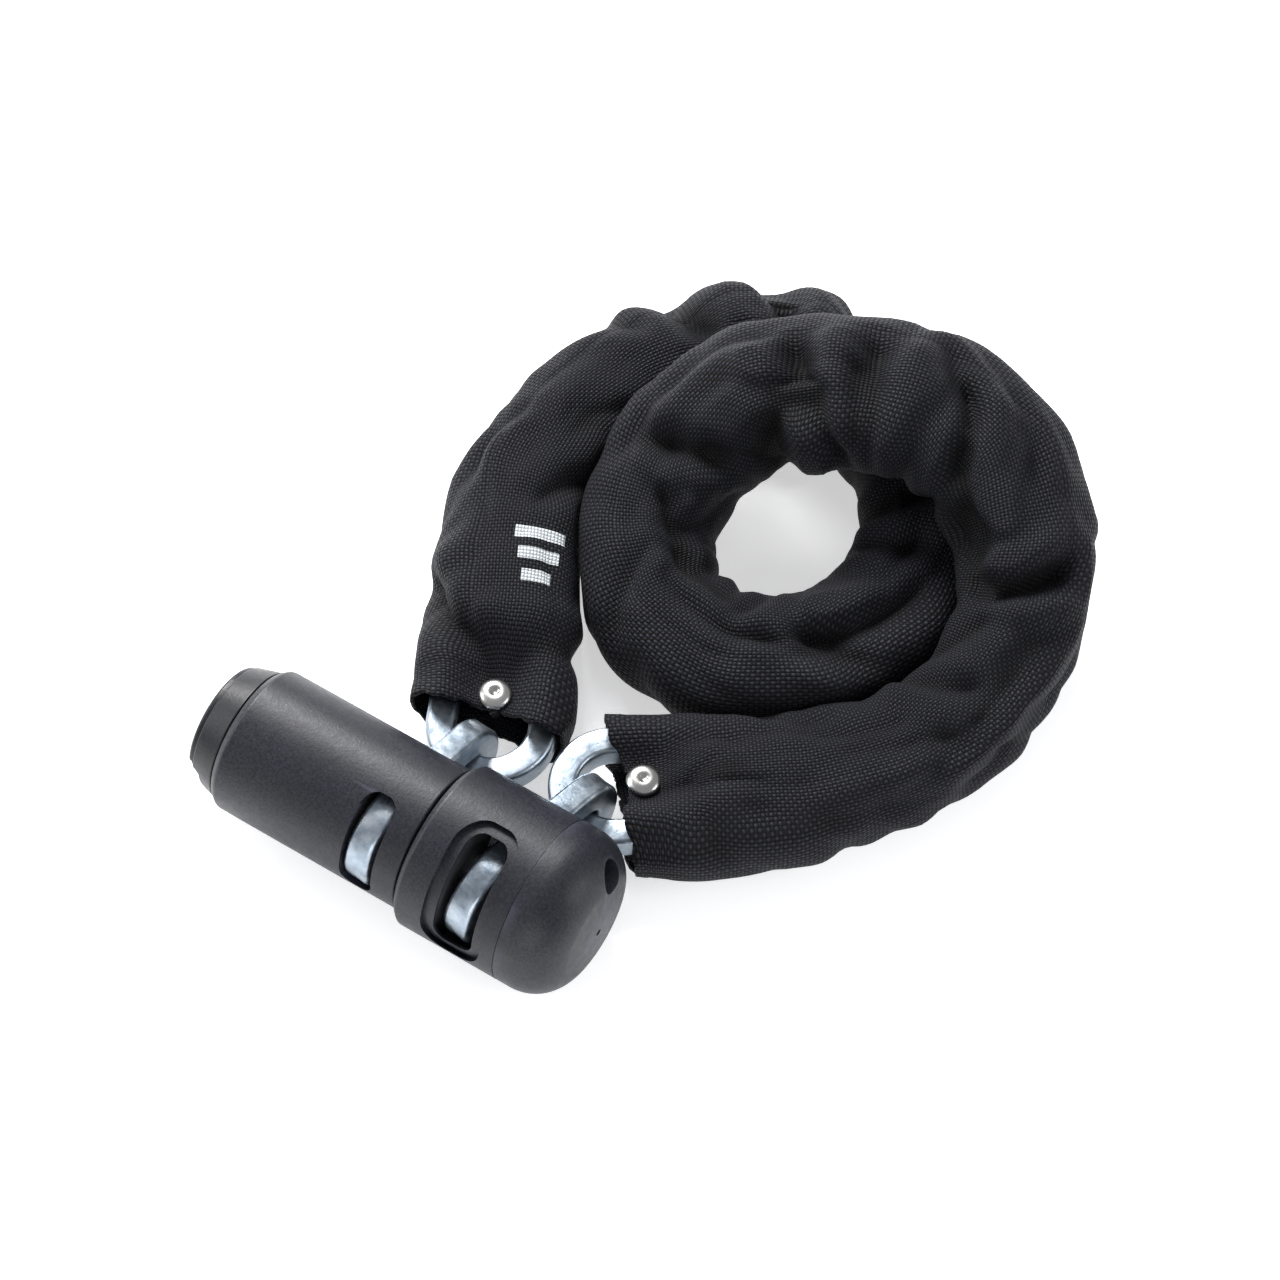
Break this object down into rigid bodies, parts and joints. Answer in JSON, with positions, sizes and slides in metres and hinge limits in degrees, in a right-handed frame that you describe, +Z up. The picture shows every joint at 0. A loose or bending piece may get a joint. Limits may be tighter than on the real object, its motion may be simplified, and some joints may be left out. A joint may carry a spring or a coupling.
{
  "type": "barrel-lock security chain",
  "caption": "Security chain in a woven black sleeve, coiled behind a two-part barrel lock whose windows show the square chain links that the bolt holds.",
  "frame": {"origin": "on the ground plane, under the barrel's axis, at the joint face between the housing and the head", "axes": "+X along the barrel towards its domed head, +Y back across the coil, +Z up from the ground"},
  "size_m": [0.1899, 0.2319, 0.0671],
  "materials": {
    "dark_plastic": "fine-grained satin",
    "tail_plastic": "satin",
    "core_alloy": "cast, dark",
    "hard_steel": "ground",
    "plated_steel": "zinc plated, satin",
    "brass": "machined",
    "spring_steel": "drawn wire",
    "nickel": "nickel plated",
    "woven_cloth": "coarse flat weave"
  },
  "bodies": {
    "head": {"head_cover": "dark_plastic", "head_core": "core_alloy", "end_cap": "dark_plastic", "cap_screw": "hard_steel", "bolt": "hard_steel", "bolt_pin": "hard_steel", "end_link_b": "plated_steel", "mouth_link_b": "plated_steel", "rivet_b": "nickel", "rivet_b_burr": "nickel", "sleeve_coil": "woven_cloth", "chain_link_06": "plated_steel", "chain_link_07": "plated_steel", "chain_link_08": "plated_steel", "chain_link_09": "plated_steel", "chain_link_10": "plated_steel", "chain_link_11": "plated_steel", "chain_link_12": "plated_steel", "chain_link_13": "plated_steel", "chain_link_14": "plated_steel", "chain_link_15": "plated_steel", "chain_link_16": "plated_steel", "chain_link_17": "plated_steel", "chain_link_18": "plated_steel", "chain_link_19": "plated_steel", "chain_link_20": "plated_steel", "chain_link_21": "plated_steel", "chain_link_22": "plated_steel", "chain_link_23": "plated_steel", "chain_link_24": "plated_steel", "chain_link_25": "plated_steel"},
    "housing": {"housing_cover": "dark_plastic", "housing_core": "core_alloy", "tail_cap": "tail_plastic", "keyway_cover_pin": "hard_steel", "lock_cylinder": "brass", "cylinder_pin": "hard_steel", "driver_pins": "brass", "pin_springs": "spring_steel", "pawl_spring": "spring_steel", "end_link_a": "plated_steel"},
    "plug": {"key_plug": "brass", "plug_ring": "hard_steel", "plug_cam": "hard_steel", "key_pins": "brass"},
    "pawl": {"locking_pawl": "hard_steel"},
    "keyway_cover": {"keyway_cover": "tail_plastic"},
    "strand": {"mouth_link_a": "plated_steel", "rivet_a": "nickel", "rivet_a_burr": "nickel", "sleeve_strand": "woven_cloth", "chain_link_01": "plated_steel", "chain_link_02": "plated_steel", "chain_link_03": "plated_steel", "chain_link_04": "plated_steel", "chain_link_05": "plated_steel"}
  },
  "joints": [
    {"name": "housing_slide", "type": "slide", "parent": "head", "child": "housing", "axis": [-1, 0, 0], "range_m": [0, 0.0285]},
    {"name": "strand_swing", "type": "hinge", "parent": "head", "child": "strand", "pos_m": [-0.02416, 0.17762, 0.0155], "axis": [0, 0, 1], "range_deg": [-13, 0]},
    {"name": "plug_turn", "type": "hinge", "parent": "housing", "child": "plug", "pos_m": [-0.05, 0, 0.024], "axis": [1, 0, 0], "range_deg": [0, 90]},
    {"name": "pawl_drop", "type": "slide", "parent": "housing", "child": "pawl", "axis": [0, 0, -1], "range_m": [0, 0.0022], "deforming": ["pawl_spring"]},
    {"name": "keyway_cover_swing", "type": "hinge", "parent": "housing", "child": "keyway_cover", "pos_m": [-0.0695, 0, 0.0355], "axis": [1, 0, 0], "range_deg": [0, 100]}
  ],
  "couplings": [
    {"joint": "strand_swing", "follows": "housing_slide", "rad_per_m": -7.2},
    {"joint": "pawl_drop", "follows": "plug_turn", "m_per_rad": 0.0014004}
  ]
}
